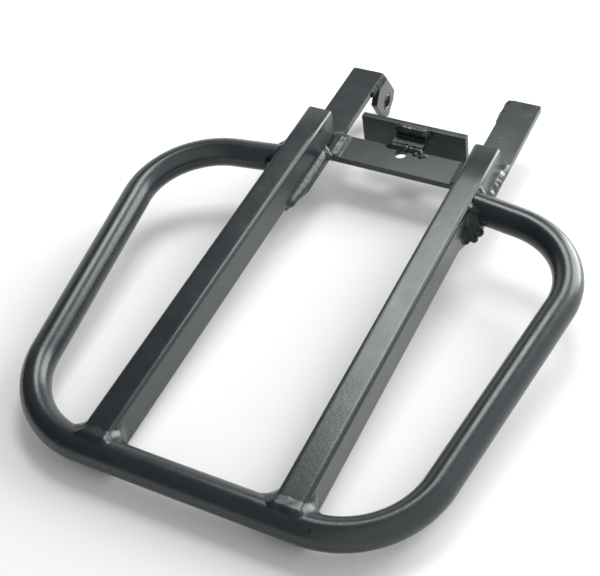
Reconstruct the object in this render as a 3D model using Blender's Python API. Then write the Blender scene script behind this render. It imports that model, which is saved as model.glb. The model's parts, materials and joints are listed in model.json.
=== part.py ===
"""Fold-down luggage rack: a welded flap of round loop tube, two box rails and two arms with hinge ears.

The flap is modelled in rack coordinates: X to the right, Y from the front bar towards the
hinge, Z up, with zero at the middle of the front bar. Its parent empty sits on the hinge
axis and leans the flap so that it lies on its front bar and its two ears.
"""

import math

import bmesh
import bpy
from mathutils import Matrix, Vector

# Driving dimensions, in metres
GAP = 0.0003                 # clearance kept between touching pieces

TUBE_RADIUS = 0.008          # loop tube, 16 mm outside
TUBE_WALL = 0.0015
LOOP_FRONT_HALF = 0.1011     # half width between the corners of the front bar
LOOP_REAR_HALF = 0.1279      # half width between the rear corners
LOOP_REAR_Y = 0.1998         # rear corners
LOOP_END_Y = 0.2098          # where the rear runs meet the rails
FRONT_BEND_RADIUS = 0.0487
REAR_BEND_RADIUS = 0.0441

RAIL_X = 0.051               # middle of each rail
RAIL_WIDTH = 0.015
RAIL_HEIGHT = 0.020
RAIL_WALL = 0.0015
RAIL_CORNER = 0.0018
RAIL_TOP_Z = 0.0079
RAIL_FRONT_Y = 0.002
RAIL_REAR_Y = 0.2483

FLAT_THICKNESS = 0.004       # arms, crossbar and stop plate are cut from one flat stock
FLAT_WIDTH = 0.020
ARM_X = 0.0504               # middle of each arm
ARM_REAR_Y = 0.3118
ARM_TIP_Y = 0.187            # tapered front end, under the rail
ARM_TAPER_Y = 0.2055
ARM_TIP_HALF = 0.005

ARM_TRIM = 0.001
LEFT_ARM_CUT = (0.0008, 0.0008)    # off the rear inner corner: across, along
RIGHT_ARM_CUT = (0.0023, 0.0055)

HINGE_Y = 0.3116             # hinge axis, through both ears
HINGE_Z = -0.0344
HINGE_HOLE_RADIUS = 0.005
EAR_FACE_X = 0.0395          # inward face of each ear plate
EAR_TOP_FRONT_Y = 0.3041
EAR_TOP_REAR_Y = 0.3128
EAR_CORNERS = (              # (Y, Z) round the ear, from its top near corner to its top far one
    (0.3032, -0.0180),
    (0.2968, -0.0267),
    (0.3040, -0.0405),
    (0.3118, -0.0458),
    (0.3202, -0.0402),
    (0.3232, -0.0344),
    (0.3153, -0.0199),
)

CROSSBAR_FRONT_Y = 0.2332
CROSSBAR_REAR_Y = 0.2523
CROSSBAR_HOLE_X = -0.0016
CROSSBAR_HOLE_Y = 0.2476
CROSSBAR_HOLE_RADIUS = 0.0037

STOP_X = -0.0012             # the stop was welded a little left of the middle
STOP_PLATE_LENGTH = 0.065
STOP_PLATE_FRONT_Y = 0.2654
STOP_PLATE_TOP_Z = -0.0071
STOP_ANGLE_WIDTH = 0.0195
STOP_ANGLE_THICKNESS = 0.0035
STOP_ANGLE_RADIUS = 0.0042
STOP_ANGLE_UPRIGHT = 0.0023

BUSH_OUTER_RADIUS = HINGE_HOLE_RADIUS - GAP
BUSH_BORE_RADIUS = 0.004
BUSH_LENGTH = FLAT_THICKNESS + 0.0006

FRONT_WELD_REACH = 0.0085    # out from the rail, along the front bar
FRONT_WELD_START_Y = 0.003
FRONT_WELD_END_Y = 0.0175
LOOP_END_WELD_LEG = 0.003
LOOP_END_WELD_RISE = 0.0009  # above the top of the tube
# Straight beads: first Y, last Y, width, height
ARM_INNER_WELD = (0.198, 0.231, 0.0026, 0.0030)
ARM_OUTER_WELD = (0.227, 0.254, 0.0024, 0.0036)
CROSSBAR_WELD = (0.2345, 0.2512, 0.0044, 0.0012)
EAR_WELD = (0.2925, 0.3112, 0.0034, 0.0013)
EAR_WELD_Z = -0.0144
# Beads across X: first X, last X, width, height
STOP_TOP_WELD = (-0.0098, 0.0074, 0.0030, 0.0024)
STOP_LEFT_TACK = (-0.0104, 0.0000, 0.0030, 0.0014)
STOP_RIGHT_TACK = (0.0016, 0.0088, 0.0030, 0.0014)

# Derived heights
RAIL_BOTTOM_Z = RAIL_TOP_Z - RAIL_HEIGHT
FLAT_TOP_Z = RAIL_BOTTOM_Z - GAP
FLAT_BOTTOM_Z = FLAT_TOP_Z - FLAT_THICKNESS
ARM_INNER_X = ARM_X - FLAT_WIDTH / 2
ARM_OUTER_X = ARM_X + FLAT_WIDTH / 2
RAIL_INNER_X = RAIL_X - RAIL_WIDTH / 2
RAIL_OUTER_X = RAIL_X + RAIL_WIDTH / 2
HINGE_POINT = Vector((0.0, HINGE_Y, HINGE_Z))

# Looks: colour, roughness, metallic
PAINT = ((0.045, 0.052, 0.056), 0.38, 0.15)
PAINT_ON_WELD = ((0.060, 0.068, 0.072), 0.32, 0.15)
DARK_STEEL = ((0.090, 0.090, 0.092), 0.45, 0.90)


def clear_scene():
    for item in list(bpy.data.objects):
        bpy.data.objects.remove(item, do_unlink=True)


def make_material(name, colour, roughness, metallic):
    material = bpy.data.materials.new(name)
    material.use_nodes = True
    shader = material.node_tree.nodes["Principled BSDF"]
    shader.inputs["Base Color"].default_value = (*colour, 1.0)
    shader.inputs["Roughness"].default_value = roughness
    shader.inputs["Metallic"].default_value = metallic
    return material


def add_piece(name, bm, look, parent, smooth_angle=35):
    """Turn a bmesh in rack coordinates into a named object whose origin is on the hinge axis."""
    bmesh.ops.translate(bm, vec=-HINGE_POINT, verts=bm.verts)
    bmesh.ops.recalc_face_normals(bm, faces=bm.faces)
    mesh = bpy.data.meshes.new(name)
    bm.to_mesh(mesh)
    bm.free()
    mesh.shade_smooth()
    mesh.set_sharp_from_angle(angle=math.radians(smooth_angle))
    piece = bpy.data.objects.new(name, mesh)
    bpy.context.scene.collection.objects.link(piece)
    mesh.materials.append(make_material(name + "_paint", *look))
    piece.parent = parent
    return piece


def arc(centre, radius, start_deg, end_deg, steps):
    """Points along a round stretch, both ends included."""
    points = []
    for step in range(steps + 1):
        angle = math.radians(start_deg + (end_deg - start_deg) * step / steps)
        points.append((centre[0] + radius * math.cos(angle), centre[1] + radius * math.sin(angle)))
    return points


def circle(centre, radius, steps):
    return arc(centre, radius, 0, 360, steps)[:-1]


def rounded_box(width, height, radius, steps):
    """Outline of a box section with round corners, about its middle."""
    points = []
    corners = ((1, 1, 0), (-1, 1, 90), (-1, -1, 180), (1, -1, 270))
    for side_x, side_y, start in corners:
        centre = (side_x * (width / 2 - radius), side_y * (height / 2 - radius))
        points += arc(centre, radius, start, start + 90, steps)
    return points


def flat_solid(loops, thickness):
    """Plate with its outline in X and Y: the first loop is its edge and the others are holes."""
    bm = bmesh.new()
    edges = []
    for loop in loops:
        verts = [bm.verts.new((x, y, 0.0)) for x, y in loop]
        for index, vert in enumerate(verts):
            edges.append(bm.edges.new((vert, verts[(index + 1) % len(verts)])))
    filled = bmesh.ops.triangle_fill(bm, use_beauty=True, edges=edges)
    faces = [item for item in filled["geom"] if isinstance(item, bmesh.types.BMFace)]
    grown = bmesh.ops.extrude_face_region(bm, geom=faces)
    moved = [item for item in grown["geom"] if isinstance(item, bmesh.types.BMVert)]
    bmesh.ops.translate(bm, vec=(0.0, 0.0, thickness), verts=moved)
    bmesh.ops.recalc_face_normals(bm, faces=bm.faces)
    return bm


def slice_across(bm, first, last, steps):
    """Add edge lines across X at even steps, so that a flat can follow a bend."""
    for step in range(steps + 1):
        place = (first + (last - first) * step / steps, 0.0, 0.0)
        geometry = bm.verts[:] + bm.edges[:] + bm.faces[:]
        bmesh.ops.bisect_plane(bm, geom=geometry, dist=1e-7, plane_co=place, plane_no=(1, 0, 0))


def skin(rings, closed_path=False):
    """Join rings of equal length into one body, with flat ends unless the path is closed."""
    bm = bmesh.new()
    rows = [[bm.verts.new(point) for point in ring] for ring in rings]
    count = len(rows[0])
    spans = len(rows) if closed_path else len(rows) - 1
    for row in range(spans):
        here = rows[row]
        there = rows[(row + 1) % len(rows)]
        for index in range(count):
            after = (index + 1) % count
            bm.faces.new((here[index], here[after], there[after], there[index]))
    if not closed_path:
        bm.faces.new(rows[0])
        bm.faces.new(rows[-1])
    return bm


def cut(piece, cutter):
    modifier = piece.modifiers.new("cope", "BOOLEAN")
    modifier.operation = "DIFFERENCE"
    modifier.solver = "EXACT"
    modifier.object = cutter


def hide_cutter(cutter):
    cutter.hide_render = True
    cutter.display_type = "WIRE"


def loop_route():
    """Middle line of the loop tube, from the left rail round the front to the right rail."""
    corners = [
        Vector((-RAIL_OUTER_X, LOOP_END_Y)),
        Vector((-LOOP_REAR_HALF, LOOP_REAR_Y)),
        Vector((-LOOP_FRONT_HALF, 0.0)),
        Vector((LOOP_FRONT_HALF, 0.0)),
        Vector((LOOP_REAR_HALF, LOOP_REAR_Y)),
        Vector((RAIL_OUTER_X, LOOP_END_Y)),
    ]
    radii = (REAR_BEND_RADIUS, FRONT_BEND_RADIUS, FRONT_BEND_RADIUS, REAR_BEND_RADIUS)
    steps = 11
    route = [corners[0]]
    for index, radius in enumerate(radii, start=1):
        to_last = (corners[index - 1] - corners[index]).normalized()
        to_next = (corners[index + 1] - corners[index]).normalized()
        half_angle = to_last.angle(to_next) / 2
        middle = corners[index] + (to_last + to_next).normalized() * radius / math.sin(half_angle)
        first = corners[index] + to_last * radius / math.tan(half_angle) - middle
        turn = math.pi - 2 * half_angle
        for step in range(steps + 1):
            angle = turn * step / steps
            route.append(middle + first @ Matrix.Rotation(-angle, 2))
    route.append(corners[-1])
    return route


def tube_rings(route, radius, sides, flat_end_x=None):
    """Rings of points round a route. A flat end is stretched along the tube to one X."""
    rings = []
    last = len(route) - 1
    for index, point in enumerate(route):
        along = (route[min(index + 1, last)] - route[max(index - 1, 0)]).normalized()
        across = Vector((-along.y, along.x))
        ring = []
        for x, z in circle((0.0, 0.0), radius, sides):
            place = point + across * x
            if flat_end_x and index in (0, last):
                goal = math.copysign(flat_end_x, point.x)
                place = place + along * (goal - place.x) / along.x
            ring.append(Vector((place.x, place.y, z)))
        rings.append(ring)
    return rings


def build_loop_tube(parent):
    """Bent round tube, hollow, with both ends cut to lie flat against the rails."""
    route = loop_route()
    sides = 24
    end_x = RAIL_OUTER_X + GAP
    bm = bmesh.new()
    walls = []
    for radius in (TUBE_RADIUS, TUBE_RADIUS - TUBE_WALL):
        rows = []
        for ring in tube_rings(route, radius, sides, end_x):
            rows.append([bm.verts.new(point) for point in ring])
        walls.append(rows)
        for here, there in zip(rows[:-1], rows[1:]):
            for index in range(sides):
                after = (index + 1) % sides
                bm.faces.new((here[index], here[after], there[after], there[index]))
    outside, inside = walls
    for row in (0, -1):
        for index in range(sides):
            after = (index + 1) % sides
            quad = (outside[row][index], outside[row][after], inside[row][after], inside[row][index])
            bm.faces.new(quad)
    add_piece("loop_tube", bm, PAINT, parent)


def build_tube_cutter(parent):
    """Round cutter, a gap larger than the tube, that copes the rails and their welds."""
    front = [point for point in loop_route() if point.y < FRONT_BEND_RADIUS]
    rings = tube_rings(front, (TUBE_RADIUS + GAP) / math.cos(math.pi / 48), 48)
    cutter = add_piece("front_bar_cutter", skin(rings), PAINT, parent)
    hide_cutter(cutter)
    return cutter


def build_rail(name, side, parent, cutter):
    """Box-section rail: coped over the front bar, cut square and left open at the rear."""
    outer = rounded_box(RAIL_WIDTH, RAIL_HEIGHT, RAIL_CORNER, 4)
    bore = rounded_box(RAIL_WIDTH - 2 * RAIL_WALL, RAIL_HEIGHT - 2 * RAIL_WALL, RAIL_CORNER / 3, 1)
    bm = flat_solid((outer, bore), RAIL_REAR_Y - RAIL_FRONT_Y)
    middle_z = RAIL_TOP_Z - RAIL_HEIGHT / 2
    for vert in bm.verts:
        x, z, y = vert.co
        vert.co = (side * RAIL_X + x, RAIL_FRONT_Y + y, middle_z + z)
    rail = add_piece(name, bm, PAINT, parent)
    cut(rail, cutter)


def build_arm(name, side, corner_cut, parent):
    """Flat arm under the rail, with a tapered front tip."""
    across, along = corner_cut
    outline = [
        (ARM_OUTER_X, ARM_TAPER_Y),
        (ARM_X + ARM_TIP_HALF, ARM_TIP_Y),
        (ARM_X - ARM_TIP_HALF, ARM_TIP_Y),
        (ARM_INNER_X, ARM_TAPER_Y),
        (ARM_INNER_X, ARM_REAR_Y - along),
        (ARM_INNER_X + across, ARM_REAR_Y),
        (ARM_OUTER_X - ARM_TRIM, ARM_REAR_Y),
        (ARM_OUTER_X, ARM_REAR_Y - ARM_TRIM),
    ]
    bm = flat_solid((outline,), FLAT_THICKNESS)
    for vert in bm.verts:
        x, y, z = vert.co
        vert.co = (side * x, y, FLAT_BOTTOM_Z + z)
    add_piece(name, bm, PAINT, parent)


def build_ear(name, side, parent):
    """Upright plate under an arm's inner edge, with the hinge hole."""
    top = FLAT_BOTTOM_Z - GAP
    outline = [*EAR_CORNERS, (EAR_TOP_REAR_Y, top), (EAR_TOP_FRONT_Y, top)]
    hole = circle((HINGE_Y, HINGE_Z), HINGE_HOLE_RADIUS, 40)
    bm = flat_solid((outline, hole), FLAT_THICKNESS)
    for vert in bm.verts:
        y, z, x = vert.co
        vert.co = (side * (EAR_FACE_X + x), y, z)
    add_piece(name, bm, PAINT, parent)


def build_crossbar(parent):
    """Flat bar between the arms, with a hole for a rubber buffer."""
    end = ARM_INNER_X - GAP
    outline = [
        (-end, CROSSBAR_FRONT_Y),
        (end, CROSSBAR_FRONT_Y),
        (end, CROSSBAR_REAR_Y),
        (-end, CROSSBAR_REAR_Y),
    ]
    hole = circle((CROSSBAR_HOLE_X, CROSSBAR_HOLE_Y), CROSSBAR_HOLE_RADIUS, 32)
    bm = flat_solid((outline, hole), FLAT_THICKNESS)
    bmesh.ops.translate(bm, vec=(0.0, 0.0, FLAT_BOTTOM_Z), verts=bm.verts)
    add_piece("crossbar", bm, PAINT, parent)


def build_stop_plate(parent):
    """Upright flat behind the crossbar."""
    half = STOP_PLATE_LENGTH / 2
    bottom = STOP_PLATE_TOP_Z - FLAT_WIDTH
    outline = [
        (-half, bottom),
        (half, bottom),
        (half, STOP_PLATE_TOP_Z),
        (-half, STOP_PLATE_TOP_Z),
    ]
    bm = flat_solid((outline,), FLAT_THICKNESS)
    for vert in bm.verts:
        x, z, y = vert.co
        vert.co = (STOP_X + x, STOP_PLATE_FRONT_Y + y, z)
    add_piece("stop_plate", bm, PAINT, parent)


def build_stop_angle(parent):
    """Small bent bracket: its foot meets the crossbar and its upright backs on the stop plate."""
    foot_front = CROSSBAR_REAR_Y + GAP
    face_y = STOP_PLATE_FRONT_Y - GAP
    bend_start = face_y - STOP_ANGLE_RADIUS - foot_front
    middle_radius = STOP_ANGLE_RADIUS - STOP_ANGLE_THICKNESS / 2
    bend_length = math.pi / 2 * middle_radius
    total = bend_start + bend_length + STOP_ANGLE_UPRIGHT
    half = STOP_ANGLE_WIDTH / 2
    outline = [(0.0, -half), (total, -half), (total, half), (0.0, half)]
    bm = flat_solid((outline,), STOP_ANGLE_THICKNESS)
    slice_across(bm, bend_start, bend_start + bend_length, 6)
    for vert in bm.verts:
        run, x, height = vert.co
        past = run - bend_start
        y = foot_front + run
        z = FLAT_TOP_Z - STOP_ANGLE_THICKNESS + height
        if past > 0:
            angle = min(past, bend_length) / middle_radius
            radius = STOP_ANGLE_RADIUS - height
            y = foot_front + bend_start + radius * math.sin(angle)
            z = FLAT_TOP_Z - STOP_ANGLE_THICKNESS + STOP_ANGLE_RADIUS - radius * math.cos(angle)
            z += max(past - bend_length, 0.0)
        vert.co = (STOP_X + x, y, z)
    add_piece("stop_angle", bm, PAINT, parent)


def build_bush(name, side, parent):
    """Sleeve in the ear's hole, on which the flap turns."""
    sides = 40
    middle = side * (EAR_FACE_X + FLAT_THICKNESS / 2)
    bore = circle((HINGE_Y, HINGE_Z), BUSH_BORE_RADIUS, sides)
    outer = circle((HINGE_Y, HINGE_Z), BUSH_OUTER_RADIUS, sides)
    bm = flat_solid((outer, bore), BUSH_LENGTH)
    for vert in bm.verts:
        y, z, x = vert.co
        vert.co = (middle - BUSH_LENGTH / 2 + x, y, z)
    add_piece(name, bm, DARK_STEEL, parent)


def bead(points, width, height, up, swell=0.06):
    """Weld bead along a line: a flat-bottomed half round that swells and thins towards its ends."""
    up = Vector(up).normalized()
    points = [Vector(point) for point in points]
    rings = []
    last = len(points) - 1
    for index, point in enumerate(points):
        along = (points[min(index + 1, last)] - points[max(index - 1, 0)]).normalized()
        across = along.cross(up).normalized()
        share = index / last
        size = math.sqrt(max(1 - (2 * share - 1) ** 8, 0.0)) * 0.75 + 0.25
        size *= 1 + swell * math.cos(3 * math.pi * index)
        ring = []
        for x, z in arc((0.0, 0.0), 1.0, 0, 180, 8):
            ring.append(point + across * x * width / 2 * size + up * z * height * size)
        rings.append(ring)
    return skin(rings)


def line(start, end, steps):
    start = Vector(start)
    end = Vector(end)
    return [start.lerp(end, step / steps) for step in range(steps + 1)]


def build_front_weld(name, side, flank, parent, cutter):
    """Broad fillet between the front bar and one flank of a rail."""
    base_x = side * RAIL_X + flank * (RAIL_WIDTH / 2 + GAP)
    run = FRONT_WELD_END_Y - FRONT_WELD_START_Y
    # (share of the reach, share of the run): hollow from the bar round to the rail
    profile = ((0.0, 0.0), (1.0, 0.0), (0.80, 0.38), (0.42, 0.61), (0.12, 0.92), (0.0, 1.0))
    # (height, size): fullest in the middle
    layers = ((-0.0070, 0.70), (-0.0055, 0.90), (0.0050, 1.0), (0.0066, 0.86), (0.0076, 0.62))
    rings = []
    for height, size in layers:
        ring = []
        for out, back in profile:
            x = base_x + flank * out * FRONT_WELD_REACH * size
            ring.append((x, FRONT_WELD_START_Y + back * run * size, height))
        rings.append(ring)
    weld = add_piece(name, skin(rings), PAINT_ON_WELD, parent)
    cut(weld, cutter)


def build_loop_end_weld(name, side, parent):
    """Ring fillet where a loop tube end butts on a rail, kept under the rail's top face."""
    lean = (LOOP_END_Y - LOOP_REAR_Y) / (LOOP_REAR_HALF - RAIL_OUTER_X)
    sides = 32
    face_x = RAIL_OUTER_X + GAP
    inner = TUBE_RADIUS + GAP + 0.0001
    rings = []
    for index in range(sides):
        angle = 2 * math.pi * index / sides
        up = math.sin(angle)
        leg = LOOP_END_WELD_LEG
        if up > 0:
            leg = min(leg, (TUBE_RADIUS + LOOP_END_WELD_RISE) / up - inner)
        ring = []
        for out, grow in ((0.0, 0.0), (0.0, leg), (0.45 * leg, 0.45 * leg), (leg, 0.0)):
            radius = inner + grow
            centre_y = LOOP_END_Y - lean * (out + GAP)
            ring.append((side * (face_x + out), centre_y + radius * math.cos(angle), radius * up))
        rings.append(ring)
    add_piece(name, skin(rings, closed_path=True), PAINT_ON_WELD, parent)


def build_bead_along(name, x, z, up, size, parent):
    """Straight bead along Y."""
    first, last, width, height = size
    steps = 12
    body = bead(line((x, first, z), (x, last, z), steps), width, height, up)
    add_piece(name, body, PAINT_ON_WELD, parent)


def build_bead_across(name, y, z, size, parent):
    """Straight bead along X."""
    first, last, width, height = size
    steps = 10
    body = bead(line((first, y, z), (last, y, z), steps), width, height, (0, 0, 1))
    add_piece(name, body, PAINT_ON_WELD, parent)


def build_welds(parent, cutter):
    lift = FLAT_TOP_Z + GAP
    rise = (0.0, 0.0, 1.0)
    for label, side in (("left", -1), ("right", 1)):
        build_front_weld(label + "_rail_outer_front_weld", side, side, parent, cutter)
        build_front_weld(label + "_rail_inner_front_weld", side, -side, parent, cutter)
        build_loop_end_weld(label + "_loop_end_weld", side, parent)
        inner_ledge = side * (RAIL_INNER_X - GAP - 0.0014)
        outer_ledge = side * (RAIL_OUTER_X + GAP + 0.0013)
        seam = side * (ARM_INNER_X - 0.0006)
        edge = side * (ARM_INNER_X - GAP)
        inward = (-side, 0.0, 0.0)
        build_bead_along(label + "_arm_inner_weld", inner_ledge, lift, rise, ARM_INNER_WELD, parent)
        build_bead_along(label + "_arm_outer_weld", outer_ledge, lift, rise, ARM_OUTER_WELD, parent)
        build_bead_along(label + "_crossbar_weld", seam, lift, rise, CROSSBAR_WELD, parent)
        build_bead_along(label + "_ear_weld", edge, EAR_WELD_Z, inward, EAR_WELD, parent)

    top_y = STOP_PLATE_FRONT_Y - 0.0021
    top_z = FLAT_TOP_Z + 0.0036
    tack_y = CROSSBAR_REAR_Y + GAP
    build_bead_across("stop_angle_top_weld", top_y, top_z, STOP_TOP_WELD, parent)
    build_bead_across("stop_angle_left_tack", tack_y, lift, STOP_LEFT_TACK, parent)
    build_bead_across("stop_angle_right_tack", tack_y, lift, STOP_RIGHT_TACK, parent)


def stand_on_floor(axis):
    """Lean the flap on its rails' front ends and the feet of its ears, and centre its length."""
    toe = Vector((0.0, RAIL_FRONT_Y, RAIL_BOTTOM_Z)) - HINGE_POINT
    feet = [Vector((0.0, y, z)) - HINGE_POINT for y, z in EAR_CORNERS]
    lean = max(math.atan2(toe.z - foot.z, foot.y - toe.y) for foot in feet)
    turn = Matrix.Rotation(lean, 3, "X")
    front_end = (turn @ -HINGE_POINT).y - TUBE_RADIUS
    rear_end = max((turn @ foot).y for foot in feet)
    axis.rotation_euler = (lean, 0.0, 0.0)
    axis.location = (0.0, -(front_end + rear_end) / 2, -(turn @ toe).z)


def main():
    clear_scene()
    axis = bpy.data.objects.new("hinge_axis", None)
    bpy.context.scene.collection.objects.link(axis)
    build_loop_tube(axis)
    cutter = build_tube_cutter(axis)
    for label, side, corner_cut in (("left", -1, LEFT_ARM_CUT), ("right", 1, RIGHT_ARM_CUT)):
        build_rail(label + "_rail", side, axis, cutter)
        build_arm(label + "_arm", side, corner_cut, axis)
        build_ear(label + "_ear", side, axis)
        build_bush(label + "_pivot_bush", side, axis)
    build_crossbar(axis)
    build_stop_plate(axis)
    build_stop_angle(axis)
    build_welds(axis, cutter)
    stand_on_floor(axis)


main()
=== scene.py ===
import itertools
import json
import math

import bmesh
import bpy
import numpy as np
from mathutils import Matrix, Vector


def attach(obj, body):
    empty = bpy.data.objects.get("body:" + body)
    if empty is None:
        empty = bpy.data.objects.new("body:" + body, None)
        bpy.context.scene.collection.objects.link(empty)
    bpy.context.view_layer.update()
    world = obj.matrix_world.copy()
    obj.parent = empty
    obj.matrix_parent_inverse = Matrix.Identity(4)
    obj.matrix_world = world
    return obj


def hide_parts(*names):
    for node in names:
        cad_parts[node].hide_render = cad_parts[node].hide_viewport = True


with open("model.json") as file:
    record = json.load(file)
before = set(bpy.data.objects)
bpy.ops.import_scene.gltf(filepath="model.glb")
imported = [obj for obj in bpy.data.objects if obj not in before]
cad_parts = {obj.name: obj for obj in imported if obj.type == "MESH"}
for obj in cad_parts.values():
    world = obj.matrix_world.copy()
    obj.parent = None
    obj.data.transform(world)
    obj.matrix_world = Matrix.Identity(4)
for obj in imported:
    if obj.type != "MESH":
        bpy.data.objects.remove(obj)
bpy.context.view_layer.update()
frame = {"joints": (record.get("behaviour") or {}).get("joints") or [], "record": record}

# Sizes repeated from the CAD part, in metres. X is to the right, Y runs from the front bar to
# the hinge and Z is up, with zero at the middle of the front bar.
TUBE_RADIUS = 0.008
TUBE_WALL = 0.0015
LOOP_FRONT_HALF = 0.1011
LOOP_REAR_HALF = 0.1279
LOOP_REAR_Y = 0.1998
LOOP_END_Y = 0.2098
FRONT_BEND_RADIUS = 0.0487
REAR_BEND_RADIUS = 0.0441

RAIL_X = 0.051
RAIL_WIDTH = 0.015
RAIL_HEIGHT = 0.020
RAIL_WALL = 0.0015
RAIL_CORNER = 0.0018
RAIL_TOP_Z = 0.0079
RAIL_FRONT_Y = 0.002
RAIL_REAR_Y = 0.2483

FLAT_THICKNESS = 0.004
FLAT_WIDTH = 0.020
ARM_X = 0.0504
ARM_REAR_Y = 0.3118
ARM_TIP_Y = 0.187
ARM_TAPER_Y = 0.2055
ARM_TIP_HALF = 0.005
ARM_TRIM = 0.001
LEFT_ARM_CUT = (0.0008, 0.0008)
RIGHT_ARM_CUT = (0.0023, 0.0055)

HINGE_Y = 0.3116
HINGE_Z = -0.0344
HINGE_HOLE_RADIUS = 0.005
EAR_FACE_X = 0.0395
EAR_TOP_FRONT_Y = 0.3041
EAR_TOP_REAR_Y = 0.3128
EAR_CORNERS = (
    (0.3032, -0.0180), (0.2968, -0.0267), (0.3040, -0.0405), (0.3118, -0.0458),
    (0.3202, -0.0402), (0.3232, -0.0344), (0.3153, -0.0199),
)
BUSH_RADIUS = 0.0047
BUSH_BORE_RADIUS = 0.004
BUSH_LENGTH = 0.0046

CROSSBAR_FRONT_Y = 0.2332
CROSSBAR_REAR_Y = 0.2523
CROSSBAR_HOLE_X = -0.0016
CROSSBAR_HOLE_Y = 0.2476
CROSSBAR_HOLE_RADIUS = 0.0037
STOP_X = -0.0012
STOP_PLATE_LENGTH = 0.065
STOP_PLATE_FRONT_Y = 0.2654
STOP_PLATE_TOP_Z = -0.0071
STOP_ANGLE_WIDTH = 0.0195
STOP_ANGLE_THICKNESS = 0.0035
STOP_ANGLE_RADIUS = 0.0042

GAP = 0.0003
BUTT_GAP = 0.00005
BRACKET_GAP = 0.0001
FLAT_CORNER = 0.0003
ARM_EASE, EAR_EASE, FLAT_EASE = 0.0003, 0.00045, 0.0004
RAIL_MIDDLE_Z = RAIL_TOP_Z - RAIL_HEIGHT / 2
RAIL_BOTTOM_Z = RAIL_TOP_Z - RAIL_HEIGHT
RAIL_OUTER_X = RAIL_X + RAIL_WIDTH / 2
RAIL_INNER_X = RAIL_X - RAIL_WIDTH / 2
FLAT_TOP_Z = RAIL_BOTTOM_Z - GAP
FLAT_BOTTOM_Z = FLAT_TOP_Z - FLAT_THICKNESS
FLAT_MIDDLE_Z = (FLAT_TOP_Z + FLAT_BOTTOM_Z) / 2
ARM_INNER_X = ARM_X - FLAT_WIDTH / 2
ARM_OUTER_X = ARM_X + FLAT_WIDTH / 2
SIDES = (("left", -1, LEFT_ARM_CUT), ("right", 1, RIGHT_ARM_CUT))


def rack_to_world():
    """Matrix from rack coordinates to the frame: the joint's axis and the lean of a rail's deck."""
    record = frame["record"]
    hinge = Vector(frame["joints"][0]["pos_m"])
    deck = next(m for m in record["mounts"] if m["name"] == "left_rail_deck")
    lean = math.atan2(-deck["axis"][1], deck["axis"][2])
    start = Matrix.Translation((0, -HINGE_Y, -HINGE_Z))
    return Matrix.Translation(hinge) @ Matrix.Rotation(lean, 4, "X") @ start


PLACE = rack_to_world()


# ---------------------------------------------------------------- materials

class Graph:
    """Small helper that adds and links shader nodes."""

    def __init__(self, name):
        self.material = bpy.data.materials.new(name)
        self.material.use_nodes = True
        self.tree = self.material.node_tree
        self.shader = self.tree.nodes["Principled BSDF"]

    def add(self, kind, **values):
        node = self.tree.nodes.new(kind)
        for key, value in values.items():
            if key in node.inputs:
                node.inputs[key].default_value = value
            else:
                setattr(node, key, value)
        return node

    def join(self, source, output, target, socket):
        self.tree.links.new(source.outputs[output], target.inputs[socket])

    def ramp(self, source, output, stops):
        node = self.tree.nodes.new("ShaderNodeValToRGB")
        elements = node.color_ramp.elements
        while len(elements) < len(stops):
            elements.new(0.5)
        for element, (place, colour) in zip(elements, stops):
            element.position = place
            element.color = (*colour, 1.0) if isinstance(colour, tuple) else (colour, colour, colour, 1.0)
        self.join(source, output, node, "Fac")
        return node


PAINT_TINT = (0.85, 1.0, 1.15)
PAINT_IOR = 1.52


def paint_colour(level):
    return tuple(level * part for part in PAINT_TINT)


def make_paint(name, level, roughness, peel, grit, shine=0.5):
    """Semi-gloss charcoal paint: cloudy colour, fine grit, orange peel and scattered dust."""
    g = Graph(name)
    place = g.add("ShaderNodeTexCoord")
    cloud = g.add("ShaderNodeTexNoise", Scale=22.0, Detail=4.0, Roughness=0.55)
    g.join(place, "Object", cloud, "Vector")
    colour = g.ramp(cloud, "Fac", ((0.30, paint_colour(level * 0.86)), (0.72, paint_colour(level * 1.16))))
    speck = g.add("ShaderNodeTexNoise", Scale=1500.0, Detail=2.0, Roughness=0.6)
    g.join(place, "Object", speck, "Vector")
    dust = g.ramp(speck, "Fac", ((0.80, 0.0), (0.92, 0.15)))
    tinted = g.add("ShaderNodeMix", data_type="RGBA")
    g.join(dust, "Color", tinted, 0)
    g.join(colour, "Color", tinted, 6)
    tinted.inputs[7].default_value = (*paint_colour(level * 2.6), 1.0)
    g.join(tinted, 2, g.shader, "Base Color")

    wear = g.add("ShaderNodeTexNoise", Scale=95.0, Detail=5.0, Roughness=0.6)
    g.join(place, "Object", wear, "Vector")
    rough = g.ramp(wear, "Fac", ((0.28, roughness * 0.86), (0.75, roughness * 1.20)))
    g.join(rough, "Color", g.shader, "Roughness")

    orange = g.add("ShaderNodeTexNoise", Scale=520.0, Detail=2.0, Roughness=0.5)
    g.join(place, "Object", orange, "Vector")
    fine = g.add("ShaderNodeTexNoise", Scale=2600.0, Detail=2.0, Roughness=0.6)
    g.join(place, "Object", fine, "Vector")
    first = g.add("ShaderNodeBump", Strength=peel, Distance=0.0006)
    g.join(orange, "Fac", first, "Height")
    second = g.add("ShaderNodeBump", Strength=grit, Distance=0.0002)
    g.join(fine, "Fac", second, "Height")
    g.join(first, "Normal", second, "Normal")
    g.join(second, "Normal", g.shader, "Normal")
    g.shader.inputs["Metallic"].default_value = 0.0
    g.shader.inputs["Specular Tint"].default_value = (0.88, 1.0, 0.96, 1.0)
    g.shader.inputs["IOR"].default_value = PAINT_IOR
    g.shader.inputs["Specular IOR Level"].default_value = shine
    return g.material


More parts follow.
